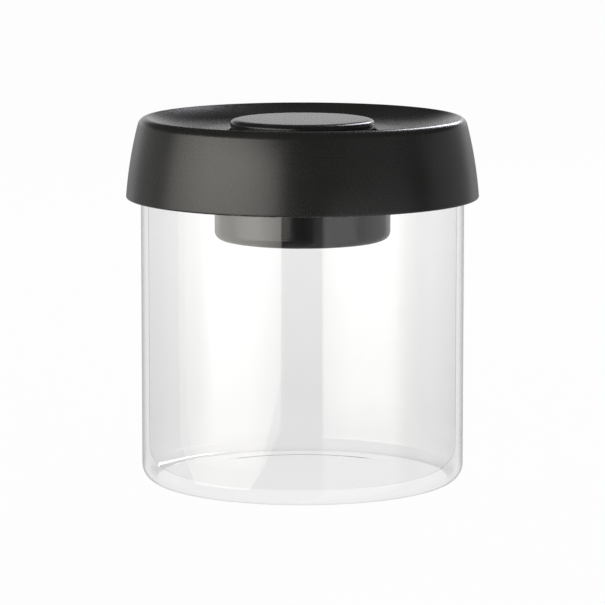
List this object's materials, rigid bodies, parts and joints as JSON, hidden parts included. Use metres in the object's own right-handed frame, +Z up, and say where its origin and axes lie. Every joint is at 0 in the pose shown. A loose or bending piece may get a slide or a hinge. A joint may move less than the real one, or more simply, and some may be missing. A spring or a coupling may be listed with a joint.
{
  "type": "vacuum seal canister",
  "caption": "Round clear glass food canister with a black flared lid, a press-pump button in a shallow dish and a pump barrel hanging inside the mouth.",
  "frame": {"origin": "centre of the jar's base, on the plane that it stands on", "axes": "+Z up along the jar's axis; +X to the right and -Y towards the viewer of the picture"},
  "size_m": [0.11, 0.11, 0.1139],
  "materials": {
    "clear_glass": "clear polished",
    "black_shell": "fine matt texture",
    "pump_plastic": "smooth semi-gloss",
    "mechanism_plastic": "natural moulded",
    "silicone": "satin",
    "steel": "plain",
    "filter_felt": "felt"
  },
  "bodies": {
    "jar": {"glass_jar": "clear_glass"},
    "lid": {"lid_cover": "black_shell", "inner_lid": "pump_plastic", "mouth_gasket": "silicone", "lid_screws": "steel", "screw_seals": "silicone", "barrel_retainer": "mechanism_plastic", "retainer_screws": "steel", "intake_valve": "silicone", "intake_filter": "filter_felt", "filter_cover": "pump_plastic", "return_spring": "steel", "release_guide": "mechanism_plastic", "release_spring": "steel"},
    "release_turn_ring": {"release_ring": "mechanism_plastic"},
    "button": {"button_cap": "black_shell", "piston": "mechanism_plastic", "piston_seal": "silicone", "exhaust_valve": "silicone", "piston_screws": "steel"},
    "release_poppet": {"release_plunger": "mechanism_plastic", "release_seal": "silicone"}
  },
  "joints": [
    {"name": "lid_lift", "type": "slide", "parent": "jar", "child": "lid", "axis": [0, 0, 1], "range_m": [0, 0.06]},
    {"name": "button_turn", "type": "hinge", "parent": "lid", "child": "release_turn_ring", "pos_m": [0, 0, 0.099], "axis": [0, 0, 1], "range_deg": [0, 45]},
    {"name": "button_press", "type": "slide", "parent": "release_turn_ring", "child": "button", "axis": [0, 0, -1], "range_m": [0, 0.008], "stiffness_N_per_m": 450, "springref_m": -0.01, "deforming": ["return_spring"]},
    {"name": "release_lift", "type": "slide", "parent": "lid", "child": "release_poppet", "axis": [0, 0, 1], "range_m": [0, 0.002], "deforming": ["release_spring"]}
  ],
  "couplings": [
    {"joint": "release_lift", "follows": "button_turn", "m_per_rad": 0.002546}
  ]
}
